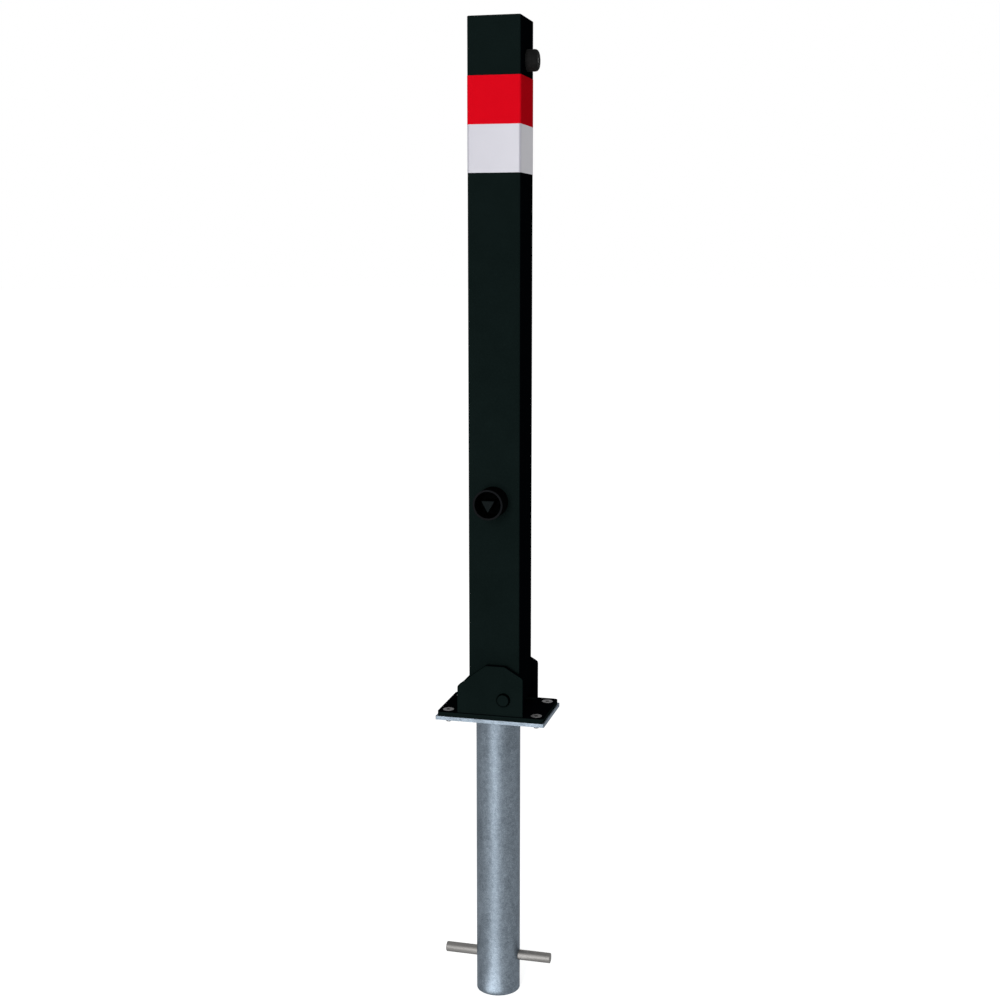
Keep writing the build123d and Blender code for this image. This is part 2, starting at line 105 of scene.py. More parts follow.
# Colours of the finishes
DULL_BLACK = (0.0046, 0.0088, 0.0083)
DUSTY_BLACK = (0.0060, 0.0112, 0.0106)
# Painted shade: near-black for the coat's faces that turn away from the lamp
PAINTED_SHADE_BLACK = (0.0012, 0.0018, 0.0026)
BOLT_BLACK = (0.0053, 0.0100, 0.0095)
# Painted shade round the hinge bolt's head
RIM_SHADE_BLACK = (0.0005, 0.0008, 0.0008)
# Painted shade for the collar's walls and bore, and the colour of its front face
COLLAR_SHADE_BLACK = (0.0018, 0.0020, 0.0021)
COLLAR_FRONT_BLACK = (0.0092, 0.0100, 0.0112)
# Black oxide, darkened to painted shade deep inside the key collar
OXIDE_SHADE_BLACK = (0.0006, 0.0008, 0.0008)
RUBBED_OXIDE = (0.0075, 0.0100, 0.0105)
WORN_OXIDE = (0.0095, 0.0125, 0.0130)
HOT_ZINC_DARK = (0.070, 0.086, 0.103)
HOT_ZINC_GREY = (0.124, 0.150, 0.177)
HOT_ZINC_LIGHT = (0.186, 0.222, 0.259)
DRAWN_STEEL_DARK = (0.143, 0.139, 0.134)
DRAWN_STEEL_LIGHT = (0.208, 0.203, 0.197)
PLATED_ZINC_DARK = (0.16, 0.16, 0.163)
PLATED_ZINC_LIGHT = (0.25, 0.25, 0.253)
SCREW_ZINC_DARK = (0.168, 0.168, 0.171)
SCREW_ZINC_LIGHT = (0.262, 0.262, 0.265)
# Painted shade inside the foot screws' sockets
SOCKET_SHADE_BLACK = (0.016, 0.016, 0.015)
OILED_STEEL_DARK = (0.14, 0.135, 0.13)
OILED_STEEL_LIGHT = (0.27, 0.265, 0.26)
RED_FILM_DARK = (0.68, 0.0026, 0.0100)
RED_FILM_LIGHT = (0.73, 0.0032, 0.0120)
WHITE_FILM_DARK = (0.466, 0.460, 0.522)
WHITE_FILM_LIGHT = (0.490, 0.484, 0.548)
RUBBER_DARK = (0.009, 0.009, 0.009)
RUBBER_DUSTY = (0.015, 0.015, 0.015)


# Finishes

class Finish:
    """One surface finish: a shader with its textures laid in the object's own coordinates."""

    def __init__(self, name, metallic=0.0, roughness=0.5, specular=0.5, tint=(1, 1, 1)):
        self.material = bpy.data.materials.new(name)
        self.material.use_nodes = True
        self.nodes = self.material.node_tree.nodes
        self.links = self.material.node_tree.links
        self.surface = self.nodes["Principled BSDF"]
        self.surface.inputs["Metallic"].default_value = metallic
        self.surface.inputs["Roughness"].default_value = roughness
        self.surface.inputs["Specular IOR Level"].default_value = specular
        self.surface.inputs["Specular Tint"].default_value = (*tint, 1)
        self.place = self.nodes.new("ShaderNodeTexCoord").outputs["Object"]

    def laid(self, scale, shift=(0, 0, 0)):
        """The object's coordinates, each axis scaled by itself and then shifted."""
        mapping = self.nodes.new("ShaderNodeMapping")
        mapping.inputs["Location"].default_value = shift
        mapping.inputs["Scale"].default_value = scale
        self.links.new(self.place, mapping.inputs["Vector"])
        return mapping.outputs["Vector"]

    def noise(self, scale, detail=2.0, roughness=0.5, distortion=0.0, place=None):
        """A soft noise, whose scale counts its blots along a metre."""
        texture = self.nodes.new("ShaderNodeTexNoise")
        texture.inputs["Scale"].default_value = scale
        texture.inputs["Detail"].default_value = detail
        texture.inputs["Roughness"].default_value = roughness
        texture.inputs["Distortion"].default_value = distortion
        self.links.new(place or self.place, texture.inputs["Vector"])
        return texture.outputs["Fac"]

    def crystals(self, scale):
        """A random grey for each cell, as zinc crystals have."""
        texture = self.nodes.new("ShaderNodeTexVoronoi")
        texture.inputs["Scale"].default_value = scale
        self.links.new(self.place, texture.inputs["Vector"])
        grey = self.nodes.new("ShaderNodeSeparateColor")
        self.links.new(texture.outputs["Color"], grey.inputs["Color"])
        return grey.outputs["Red"]

    def share(self, value, start, end):
        """0 where the value is start, and 1 where it is end."""
        node = self.nodes.new("ShaderNodeMapRange")
        node.inputs["From Min"].default_value = start
        node.inputs["From Max"].default_value = end
        self.links.new(value, node.inputs["Value"])
        return node.outputs["Result"]

    def along(self, axis, start, end):
        """0 at start and 1 at end, by the place along one axis of the object."""
        place = self.nodes.new("ShaderNodeSeparateXYZ")
        self.links.new(self.place, place.inputs["Vector"])
        return self.share(place.outputs[axis], start, end)

    def smaller(self, first, second):
        node = self.nodes.new("ShaderNodeMath")
        node.operation = "MINIMUM"
        self.links.new(first, node.inputs[0])
        self.links.new(second, node.inputs[1])
        return node.outputs["Value"]

    def sum_of(self, *weighted):
        """Adds several values, each times its own weight."""
        total = None
        for value, weight in weighted:
            node = self.nodes.new("ShaderNodeMath")
            node.operation = "MULTIPLY_ADD"
            node.inputs[1].default_value = weight
            node.inputs[2].default_value = 0.0
            self.links.new(value, node.inputs[0])
            if total is not None:
                self.links.new(total, node.inputs[2])
            total = node.outputs["Value"]
        return total

    def colour(self, value, *stops):
        """Gives the surface a colour for each value, by (value, colour) stops."""
        ramp = self.nodes.new("ShaderNodeValToRGB")
        elements = ramp.color_ramp.elements
        while len(elements) < len(stops):
            elements.new(0.5)
        for element, (position, colour) in zip(elements, stops):
            element.position = position
            element.color = (*colour, 1)
        self.links.new(value, ramp.inputs["Fac"])
        self.links.new(ramp.outputs["Color"], self.surface.inputs["Base Color"])

    def vary_roughness(self, value, smooth, rough):
        """Lays the value's range from 0 to 1 over the roughness from smooth to rough."""
        node = self.nodes.new("ShaderNodeMapRange")
        node.inputs["To Min"].default_value = smooth
        node.inputs["To Max"].default_value = rough
        self.links.new(value, node.inputs["Value"])
        self.links.new(node.outputs["Result"], self.surface.inputs["Roughness"])

    def relief(self, height, strength, depth):
        bump = self.nodes.new("ShaderNodeBump")
        bump.inputs["Strength"].default_value = strength
        bump.inputs["Distance"].default_value = depth
        self.links.new(height, bump.inputs["Height"])
        self.links.new(bump.outputs["Normal"], self.surface.inputs["Normal"])


WIDE_CLOUDS = 16
FINE_CLOUDS = 300
ORANGE_PEEL = 750
GLASS_BEADS = 1500


def powder_coat(name, cloud_scale, smooth=0.7):
    """A powder coat with its orange peel, still without a colour, and the clouds that vary it."""
    finish = Finish(name, roughness=0.8, specular=0.0)
    clouds = finish.noise(cloud_scale, detail=4)
    finish.vary_roughness(clouds, smooth, rough=0.85)
    finish.relief(finish.noise(ORANGE_PEEL), strength=0.12, depth=0.2 * MM)
    return finish, clouds


def black_powder_coat():
    finish, clouds = powder_coat("black_powder_coat", WIDE_CLOUDS)
    finish.colour(clouds, (0.3, DULL_BLACK), (0.7, DUSTY_BLACK))
    return finish.material


def painted_shade_coat(name, axis, shade_start, shade_full):
    """Black coat with painted shade: its cloudy tone up to a place on one axis, and painted
    near-black past that place, as shade on the faces turned away from the lamp.
    """
    finish, clouds = powder_coat(name, WIDE_CLOUDS)
    tone = finish.sum_of((finish.along(axis, shade_start, shade_full), 0.75), (clouds, 0.25))
    finish.colour(tone, (0.075, DULL_BLACK), (0.175, DUSTY_BLACK), (0.8, PAINTED_SHADE_BLACK))
    return finish.material


def collar_coat_painted_shade():
    """Black coat of the key collar: the front face of its mouth keeps a paler coat colour, and its
    walls and bore behind that are painted near-black as shade.
    """
    finish, clouds = powder_coat("collar_coat_painted_shade", FINE_CLOUDS, smooth=0.65)
    unshaded_front = finish.along("Y", collar_low.y + 1.2 * MM, collar_low.y + 0.3 * MM)
    tone = finish.sum_of((unshaded_front, 0.8), (clouds, 0.2))
    finish.colour(tone, (0.1, COLLAR_SHADE_BLACK), (0.9, COLLAR_FRONT_BLACK))
    return finish.material


def bolt_coat_painted_rim_shade():
    """Black coat of the hinge bolt's head, painted near-black round its rim and on its side as the
    shade round the head.
    """
    finish, clouds = powder_coat("bolt_coat_painted_rim_shade", FINE_CLOUDS)
    from_pin = finish.nodes.new("ShaderNodeVectorMath")
    from_pin.operation = "LENGTH"
    finish.links.new(finish.laid(scale=(1, 0, 1), shift=(-pin_x, 0, -pin_z)), from_pin.inputs[0])
    lit_face_radius = bolt_head_radius - 1.9 * MM
    full_shade_radius = bolt_head_radius - 0.9 * MM
    rim_shade = finish.share(from_pin.outputs["Value"], lit_face_radius, full_shade_radius)
    tone = finish.sum_of((rim_shade, 0.85), (clouds, 0.15))
    finish.colour(tone, (0.08, BOLT_BLACK), (0.9, RIM_SHADE_BLACK))
    return finish.material


def blackened_steel():
    """Black oxide, worn to grey towards the front where the key rubs it, and painted near-black
    further in as the shade inside the key collar.
    """
    finish = Finish("blackened_steel", roughness=0.7, specular=0.0)
    haze = finish.noise(scale=240, detail=4)
    unshaded_front = finish.along("Y", spindle_low.y + 6 * MM, spindle_low.y + 0.5 * MM)
    tone = finish.sum_of((unshaded_front, 0.7), (haze, 0.3))
    finish.colour(tone, (0.1, OXIDE_SHADE_BLACK), (0.75, RUBBED_OXIDE), (0.95, WORN_OXIDE))
    finish.vary_roughness(haze, smooth=0.6, rough=0.8)
    finish.relief(haze, strength=0.1, depth=0.1 * MM)
    return finish.material


def galvanised_zinc(name, brightness):
    """Hot zinc coat: curls and crystals under soft upright clouds, all in cool greys."""
    finish = Finish(name, metallic=0.9, roughness=0.45, tint=(0.6, 0.62, 0.65))
    crystals = finish.crystals(scale=170)
    curls = finish.noise(
        scale=380, detail=3, roughness=0.75, distortion=1.6, place=finish.laid(scale=(1, 1, 1.4))
    )
    clouds = finish.noise(scale=40, detail=4, distortion=0.6, place=finish.laid(scale=(1, 1, 0.3)))
    grain = finish.noise(scale=640)
    tone = finish.sum_of((curls, 0.52), (crystals, 0.06), (clouds, 0.21), (grain, 0.21))
    greys = ((0.38, HOT_ZINC_DARK), (0.5, HOT_ZINC_GREY), (0.62, HOT_ZINC_LIGHT))
    finish.colour(tone, *((at, [part * brightness for part in grey]) for at, grey in greys))
    finish.vary_roughness(finish.sum_of((curls, 0.7), (crystals, 0.3)), smooth=0.42, rough=0.58)
    finish.relief(tone, strength=0.55, depth=0.6 * MM)
    return finish.material


def bright_bar_steel():
    """Steel with the fine lines that drawing has left along it."""
    finish = Finish("bright_bar_steel", metallic=0.95, roughness=0.4, tint=(0.6, 0.6, 0.6))
    lines = finish.noise(scale=60, detail=5, place=finish.laid(scale=(1, 30, 30)))
    tone = finish.sum_of((lines, 0.8), (finish.noise(scale=500), 0.2))
    finish.colour(tone, (0.3, DRAWN_STEEL_DARK), (0.7, DRAWN_STEEL_LIGHT))
    finish.vary_roughness(lines, smooth=0.42, rough=0.56)
    finish.relief(lines, strength=0.1, depth=0.1 * MM)
    return finish.material


def zinc_plate(name):
    """Thin plated zinc, still without a colour, and the haze that varies it."""
    finish = Finish(name, metallic=0.95, roughness=0.4, tint=(0.36, 0.36, 0.36))
    haze = finish.noise(scale=180, detail=4)
    finish.vary_roughness(haze, smooth=0.36, rough=0.52)
    finish.relief(finish.noise(scale=1400), strength=0.08, depth=0.05 * MM)
    return finish, haze


def zinc_plated_steel():
    finish, haze = zinc_plate("zinc_plated_steel")
    finish.colour(haze, (0.3, PLATED_ZINC_DARK), (0.75, PLATED_ZINC_LIGHT))
    return finish.material


def screw_zinc_painted_socket_shade():
    """Zinc plate of the foot screws, with the walls and floor of their sockets painted near-black as
    shade.
    """
    finish, haze = zinc_plate("screw_zinc_painted_socket_shade")
    mouth = screws_high.z
    floor = mouth - SCREW_SOCKET_DEPTH - SOCKET_CONE * SCREW_SOCKET_HALF_WIDTH
    below_mouth = finish.along("Z", mouth - 0.1 * MM, mouth - 0.6 * MM)
    above_floor = finish.along("Z", floor - 0.45 * MM, floor - 0.25 * MM)
    tone = finish.sum_of((finish.smaller(below_mouth, above_floor), 0.7), (haze, 0.3))
    finish.colour(tone, (0.09, SCREW_ZINC_DARK), (0.225, SCREW_ZINC_LIGHT), (0.7, SOCKET_SHADE_BLACK))
    return finish.material


def machined_steel():
    finish = Finish("machined_steel", metallic=0.8, roughness=0.4)
    oil = finish.noise(scale=90, detail=4)
    finish.colour(oil, (0.3, OILED_STEEL_DARK), (0.7, OILED_STEEL_LIGHT))
    finish.vary_roughness(oil, smooth=0.3, rough=0.5)
    finish.relief(finish.noise(scale=900), strength=0.08, depth=0.05 * MM)
    return finish.material


def beaded_film(finish, dark, light, smooth, rough):
    """Gives a reflective film its glass beads, between two shades of its colour."""
    beads = finish.noise(GLASS_BEADS)
    tone = finish.sum_of((beads, 0.5), (finish.noise(scale=18), 0.5))
    finish.colour(tone, (0.3, dark), (0.7, light))
    finish.vary_roughness(beads, smooth, rough)
    finish.relief(beads, strength=0.06, depth=0.05 * MM)
    return finish.material


def red_reflective_film():
    finish = Finish("red_reflective_film", roughness=0.5, specular=0.0)
    return beaded_film(finish, RED_FILM_DARK, RED_FILM_LIGHT, smooth=0.42, rough=0.58)


def white_reflective_film():
    finish = Finish("white_reflective_film", roughness=0.4, specular=0.7)
    finish.surface.inputs["Coat Weight"].default_value = 0.4
    finish.surface.inputs["Coat Roughness"].default_value = 0.35
    return beaded_film(finish, WHITE_FILM_DARK, WHITE_FILM_LIGHT, smooth=0.34, rough=0.42)


def moulded_rubber():
    finish = Finish("moulded_rubber", roughness=0.75, specular=0.02)
    dust = finish.noise(scale=120, detail=5)
    finish.colour(dust, (0.3, RUBBER_DARK), (0.75, RUBBER_DUSTY))
    finish.vary_roughness(dust, smooth=0.6, rough=0.8)
    finish.relief(finish.noise(scale=1100, detail=3), strength=0.2, depth=0.1 * MM)
    return finish.material


finishes = {
    "black_coat": black_powder_coat(),
    "galvanised": galvanised_zinc("galvanised_zinc", brightness=1.0),
    "bare_steel": bright_bar_steel(),
    "zinc_plate": zinc_plated_steel(),
    "inner_steel": machined_steel(),
    "dark_steel": blackened_steel(),
    "red_film": red_reflective_film(),
    "white_film": white_reflective_film(),
    "rubber": moulded_rubber(),
}

# Every solid gets the finish of its slot in the record
for subpart in frame["record"]["subparts"]:
    solid = frame["nodes"][subpart["node"]]
    solid.data.materials.clear()
    solid.data.materials.append(finishes[subpart["material_slot"]])


# Shaping tools

MERGE = 0.002 * MM
SMOOTH_ANGLE = 32.0


def verts_of(made):
    """The corners among what an operator has made."""
    return [item for item in made if isinstance(item, bmesh.types.BMVert)]


def edges_of(made):
    return [item for item in made if isinstance(item, bmesh.types.BMEdge)]


def outline(mesh, points, closed):
    """Edges from point to point, and back to the first one where the outline is closed."""
    edges = [mesh.edges.new(pair) for pair in zip(points, points[1:])]
    if closed:
        edges.append(mesh.edges.new((points[-1], points[0])))
    return edges


def put(mesh, centre, axis):
    """Moves a shape modelled upright about the origin to centre, with its top along axis."""
    turn = axis.to_track_quat("Z", "Y").to_matrix().to_4x4()
    bmesh.ops.transform(mesh, matrix=Matrix.Translation(centre) @ turn, verts=mesh.verts)


def close_holes(mesh):
    bmesh.ops.holes_fill(mesh, edges=[edge for edge in mesh.edges if edge.is_boundary])


def piece(name, mesh, body, slot, *replaced, finish=None):
    """Makes a finished object of a mesh: it rides on a body and may stand for CAD nodes."""
    bmesh.ops.remove_doubles(mesh, verts=mesh.verts, dist=MERGE)
    bmesh.ops.recalc_face_normals(mesh, faces=mesh.faces)
    data = bpy.data.meshes.new(name)
    mesh.to_mesh(data)
    mesh.free()
    data.polygons.foreach_set("use_smooth", [True] * len(data.polygons))
    data.set_sharp_from_angle(angle=math.radians(SMOOTH_ANGLE))
    data.materials.append(finish or finishes[slot])
    made = bpy.data.objects.new(name, data)
    bpy.context.scene.collection.objects.link(made)
    shading = made.modifiers.new("even_shading", "WEIGHTED_NORMAL")
    shading.keep_sharp = True
    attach(made, body)
    if replaced:
        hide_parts(*replaced)
    return made


def turned(profile, steps=72, closed=False):
    """A lathe shape about the upright axis from (radius, height) points."""
    mesh = bmesh.new()
    points = [mesh.verts.new((radius, 0, height)) for radius, height in profile]
    edges = outline(mesh, points, closed)
    bmesh.ops.spin(
        mesh,
        geom=points + edges,
        cent=(0, 0, 0),
        axis=Z_AXIS,
        angle=FULL_TURN,
        steps=steps,
        use_merge=True,
    )
    bmesh.ops.remove_doubles(mesh, verts=mesh.verts, dist=MERGE)
    return mesh


def corner_arc(centre_radius, centre_height, reach, start, end, count=5):
    """Points of a rounded profile corner, between two angles in degrees."""
    angles = [math.radians(start + (end - start) * step / count) for step in range(count + 1)]
    return [
        (centre_radius + reach * math.cos(angle), centre_height + reach * math.sin(angle))
        for angle in angles
    ]


# Threads: how far the ridge is sunk into its core, and its corners in shares of the pitch
RIDGE_SUNK = 0.1 * MM
CREST_START = 0.42
CREST_END = 0.54
RIDGE_END = 0.96


def thread(core_radius, crest_radius, pitch, bottom, top, steps=28):
    """The helical ridge of a screw thread, wound on a core between two heights."""
    mesh = bmesh.new()
    root = core_radius - RIDGE_SUNK
    points = [
        mesh.verts.new((root, 0, bottom)),
        mesh.verts.new((crest_radius, 0, bottom + CREST_START * pitch)),
        mesh.verts.new((crest_radius, 0, bottom + CREST_END * pitch)),
        mesh.verts.new((root, 0, bottom + RIDGE_END * pitch)),
    ]
    edges = outline(mesh, points, closed=True)
    turns = (top - bottom) / pitch - 1
    bmesh.ops.spin(
        mesh,
        geom=points + edges,
        cent=(0, 0, 0),
        axis=Z_AXIS,
        dvec=Z_AXIS * pitch / steps,
        angle=FULL_TURN * turns,
        steps=round(steps * turns),
    )
    close_holes(mesh)
    return mesh


def joined(*meshes):
    """One mesh of several closed shells."""
    whole = bmesh.new()
    for mesh in meshes:
        part = bpy.data.meshes.new("shell")
        mesh.to_mesh(part)
        mesh.free()
        whole.from_mesh(part)
        bpy.data.meshes.remove(part)
    return whole


def hexagon_socket(rim_radius, half_width, depth, height, steps=72):
    """The top face of a screw head at a height, from its rim into a hexagon socket."""
    mesh = bmesh.new()
    bmesh.ops.create_circle(mesh, segments=steps, radius=rim_radius)
    mouth = bmesh.ops.create_circle(mesh, segments=steps, radius=half_width)["verts"]
    for vert in mouth:
        angle = math.atan2(vert.co.y, vert.co.x) % (FULL_TURN / 6) - FULL_TURN / 12
        vert.co *= 1 / math.cos(angle)
    bmesh.ops.translate(mesh, verts=mesh.verts, vec=(0, 0, height))
    bmesh.ops.bridge_loops(mesh, edges=mesh.edges[:])
    mouth_edges = [edge for edge in mesh.edges if all(vert in mouth for vert in edge.verts)]
    wall = bmesh.ops.extrude_edge_only(mesh, edges=mouth_edges)["geom"]
    bmesh.ops.translate(mesh, verts=verts_of(wall), vec=(0, 0, -depth))
    floor_edges = [edge for edge in edges_of(wall) if edge.is_boundary]
    cone = bmesh.ops.extrude_edge_only(mesh, edges=floor_edges)["geom"]
    tip = Vector((0, 0, height - depth - SOCKET_CONE * half_width))
    bmesh.ops.pointmerge(mesh, verts=verts_of(cone), merge_co=tip)
    return mesh


# Weld beads: the corners of their section in shares of the leg, and the ripples along them
BEAD_SECTION = ((0, 0), (1, 0), (0.86, 0.34), (0.62, 0.62), (0.34, 0.86), (0, 1))
RIPPLE = 1.5 * MM
RIPPLE_STEPS = 4
RIPPLE_SWELL = 0.08


def bead(frames, leg):
    """A fillet weld bead along frames whose X and Y are the corner's two sides."""
    mesh = bmesh.new()
    points = [mesh.verts.new((across * leg, up * leg, 0)) for across, up in BEAD_SECTION]
    edges = outline(mesh, points, closed=True)
    bmesh.ops.transform(mesh, matrix=frames[0], verts=points)
    here = frames[0]
    for there in frames[1:]:
        made = bmesh.ops.extrude_edge_only(mesh, edges=edges)["geom"]
        verts = verts_of(made)
        edges = [edge for edge in edges_of(made) if all(vert in verts for vert in edge.verts)]
        bmesh.ops.transform(mesh, matrix=there @ here.inverted(), verts=verts)
        here = there
    bmesh.ops.remove_doubles(mesh, verts=mesh.verts, dist=MERGE)
    close_holes(mesh)
    return mesh


def ripple(step):
    """The size of a bead at a step of its length, swelling once for each ripple."""
    return 1 - RIPPLE_SWELL + RIPPLE_SWELL * math.sin(math.pi * (step % RIPPLE_STEPS) / RIPPLE_STEPS)


def frame_of(place, side_a, side_b, size):
    """A bead's frame at a place, along the two sides of its corner."""
    ahead = side_a.cross(side_b)
    axes = Matrix((side_a * size, side_b * size, ahead)).transposed().to_4x4()
    return Matrix.Translation(place) @ axes


def bead_along(start, end, side_a, side_b, leg):
    count = max(2, round((end - start).length / RIPPLE)) * RIPPLE_STEPS
    frames = [
        frame_of(start.lerp(end, step / count), side_a, side_b, ripple(step))
        for step in range(count + 1)
    ]
    return bead(frames, leg)


def bead_around(centre, axis, radius, leg):
    """A bead round a pipe that stands on a face, with axis pointing out of that face."""
    count = round(FULL_TURN * radius / RIPPLE) * RIPPLE_STEPS
    side = axis.orthogonal().normalized()
    frames = []
    for step in range(count + 1):
        outward = Matrix.Rotation(FULL_TURN * step / count, 3, axis) @ side
        frames.append(frame_of(centre + outward * radius, outward, axis, ripple(step)))
    return bead(frames, leg)


# Edges bent by less than the first angle are dissolved, and by more than the second one are eased
FLAT_ANGLE = 0.4
EASED_ANGLE = 40.0


def eased_copy(node, body, slot, width, finish=None):
    """Stands for a CAD node with the same shape and its sharp edges broken, as on the real steel."""
    mesh = bmesh.new()
    mesh.from_mesh(frame["nodes"][node].data)
    bmesh.ops.remove_doubles(mesh, verts=mesh.verts, dist=MERGE)
    bmesh.ops.dissolve_limit(
        mesh,
        angle_limit=math.radians(FLAT_ANGLE),
        verts=mesh.verts,
        edges=mesh.edges,
        use_dissolve_boundaries=False,
    )
    sharp = [
        edge for edge in mesh.edges
        if len(edge.link_faces) == 2 and edge.calc_face_angle() > math.radians(EASED_ANGLE)
    ]
    bmesh.ops.bevel(
        mesh,
        geom=sharp,
        offset=width,
        offset_type="OFFSET",
        affect="EDGES",
        segments=2,
        profile=0.5,
        material=-1,
        clamp_overlap=True,
    )
    return piece(node + "_eased", mesh, body, slot, node, finish=finish)


# Steel plates, tubes and bars, with the widths of their broken edges

PLATE_EDGE = 0.4 * MM
TUBE_EDGE = 0.3 * MM
WASHER_EDGE = 0.25 * MM
FINE_EDGE = 0.2 * MM
RING_EDGE = 0.1 * MM


def eased_steel():
    # Painted shade: the post's right side, the foot plate's top, and every face of the ears but the
    # outer ones are painted near-black, as the shade they fall in
    side = post_high.x
    post_painted_shade_coat = painted_shade_coat("post_painted_shade_coat", "X", shade_start=side - 1.2 * MM, shade_full=side - 0.3 * MM)
    top = plate_high.z
    plate_top_shade = painted_shade_coat("plate_top_shade_coat", "Z", shade_start=top - 0.55 * MM, shade_full=top - 0.25 * MM)
    front = ear_low.y
    front_ear_shade = painted_shade_coat("front_ear_painted_shade_coat", "Y", shade_start=front + 0.25 * MM, shade_full=front + 0.6 * MM)
    back = rear_ear_high.y
    rear_ear_shade = painted_shade_coat("rear_ear_painted_shade_coat", "Y", shade_start=back - 0.25 * MM, shade_full=back - 0.6 * MM)
    # Painted light: the flange's zinc is a copy made brighter than the pipe's, as the reflection its
    # edges catch
    flange_zinc_lit_copy = galvanised_zinc("flange_zinc_lit_copy", brightness=1.17)
    eased_copy("post_tube", "post", "black_coat", TUBE_EDGE, post_painted_shade_coat)
    eased_copy("top_cap", "post", "black_coat", TUBE_EDGE, post_painted_shade_coat)
    eased_copy("foot_plate", "root", "black_coat", PLATE_EDGE, plate_top_shade)
    eased_copy("front_ear", "root", "black_coat", PLATE_EDGE, front_ear_shade)
    eased_copy("rear_ear", "root", "black_coat", PLATE_EDGE, rear_ear_shade)
    eased_copy("stop_plate", "root", "black_coat", PLATE_EDGE)
    eased_copy("sleeve_flange", "root", "galvanised", TUBE_EDGE, flange_zinc_lit_copy)
    eased_copy("sleeve_pipe", "root", "galvanised", TUBE_EDGE)
    eased_copy("hinge_nut", "root", "zinc_plate", FINE_EDGE)
    eased_copy("nut_washer", "root", "zinc_plate", WASHER_EDGE)
    eased_copy("spacer_washers", "root", "zinc_plate", WASHER_EDGE)
    eased_copy("lock_spindle", "spindle", "dark_steel", FINE_EDGE)
    eased_copy("spindle_ring", "spindle", "dark_steel", RING_EDGE)
    eased_copy("lock_bush", "post", "dark_steel", FINE_EDGE)
    eased_copy("locking_bar", "bar", "inner_steel", TUBE_EDGE)
    eased_copy("lower_guide", "post", "inner_steel", FINE_EDGE)
    eased_copy("upper_guide", "post", "inner_steel", FINE_EDGE)
    eased_copy("crank_lever", "spindle", "inner_steel", FINE_EDGE)
    eased_copy("crank_pin", "spindle", "inner_steel", FINE_EDGE)
    eased_copy("hinge_tube", "post", "inner_steel", FINE_EDGE)
    eased_copy("buffer_nut", "post", "zinc_plate", FINE_EDGE)


# Bar through the socket pipe, with its sheared ends chamfered

def cross_bar():
    radius = (anchor_high.z - anchor_low.z) / 2
    half = (anchor_high.x - anchor_low.x) / 2
    edge = 0.9 * MM
    end = corner_arc(radius - edge, half - edge, edge, 90, 0, count=3)
    profile = [(0, half), *end, *[(reach, -height) for reach, height in reversed(end)], (0, -half)]
    mesh = turned(profile, steps=64)
    put(mesh, Vector((0, 0, anchor_z)), X_AXIS)
    piece("cross_bar", mesh, "root", "bare_steel", "anchor_bar")


# Countersunk foot screws with hexagon sockets and threads

SCREW_CORNERS = ((-1, -1), (1, -1), (-1, 1), (1, 1))


def foot_screws():
    top = screws_high.z
    bottom = screws_low.z
    crest = 4.0 * MM
    core = 3.35 * MM
    pitch = 1.25 * MM
    rim = 0.9 * MM
    edge = 0.2 * MM
    tip = 0.6 * MM
    neck = top - rim - (SCREW_HEAD_RADIUS - crest)
    shank_end = neck - 1.2 * MM
    core_start = neck - 1.9 * MM
    ridge_bottom = bottom + 0.2 * MM
    ridge_top = neck - 0.8 * MM
    spread_x = (screws_high.x - screws_low.x) / 2 - SCREW_SEAT_RADIUS
    spread_y = (screws_high.y - screws_low.y) / 2 - SCREW_SEAT_RADIUS
    zinc = screw_zinc_painted_socket_shade()
    for number, (side_x, side_y) in enumerate(SCREW_CORNERS, 1):
        body = turned([
            (SCREW_HEAD_RADIUS - edge, top),
            (SCREW_HEAD_RADIUS, top - edge),
            (SCREW_HEAD_RADIUS, top - rim),
            (crest, neck),
            (crest, shank_end),
            (core, core_start),
            (core, bottom + tip),
            (core - tip, bottom),
            (0, bottom),
        ])
        socket = hexagon_socket(
            SCREW_HEAD_RADIUS - edge, SCREW_SOCKET_HALF_WIDTH, SCREW_SOCKET_DEPTH, top
        )
        ridge = thread(core, crest, pitch, ridge_bottom, ridge_top)
        mesh = joined(body, socket, ridge)
        bmesh.ops.translate(mesh, verts=mesh.verts, vec=(side_x * spread_x, side_y * spread_y, 0))
        piece(f"foot_screw_{number}", mesh, "root", "zinc_plate", "foot_screws", finish=zinc)


# Hinge bolt with a low round head, its edge rolled over, and a threaded end

def hinge_bolt():
    shank = 6.0 * MM
    head_height = ear_low.y - bolt_low.y
    length = bolt_high.y - bolt_low.y
    edge = 1.2 * MM
    core = 5.1 * MM
    pitch = 1.75 * MM
    tip = 0.9 * MM
    thread_start = rear_ear_high.y - bolt_low.y + 1.0 * MM
    core_start = thread_start + 0.8 * MM
    shoulder = 0.1 * MM
    ridge_bottom = -length + 0.3 * MM
    ridge_top = -thread_start - 0.2 * MM
    mesh = turned([
        (0, 0),
        *corner_arc(bolt_head_radius - edge, -edge, edge, 90, 0),
        (bolt_head_radius, -head_height),
        (shank, -head_height),
        (shank, -thread_start),
        (0, -thread_start),
    ])
    put(mesh, Vector((pin_x, bolt_low.y, pin_z)), -Y_AXIS)
    piece("hinge_bolt_head", mesh, "root", "black_coat", "hinge_bolt", finish=bolt_coat_painted_rim_shade())
    core_shape = turned([
        (0, -thread_start),
        (shank - shoulder, -thread_start),
        (core, -core_start),
        (core, -length + tip),
        (core - tip, -length),
        (0, -length),
    ])
    ridge = thread(core, shank, pitch, ridge_bottom, ridge_top)
    mesh = joined(core_shape, ridge)
    put(mesh, Vector((pin_x, bolt_low.y, pin_z)), -Y_AXIS)
    piece("hinge_bolt_thread", mesh, "root", "zinc_plate")


# Collar round the key spindle, with both rims of its mouth rounded

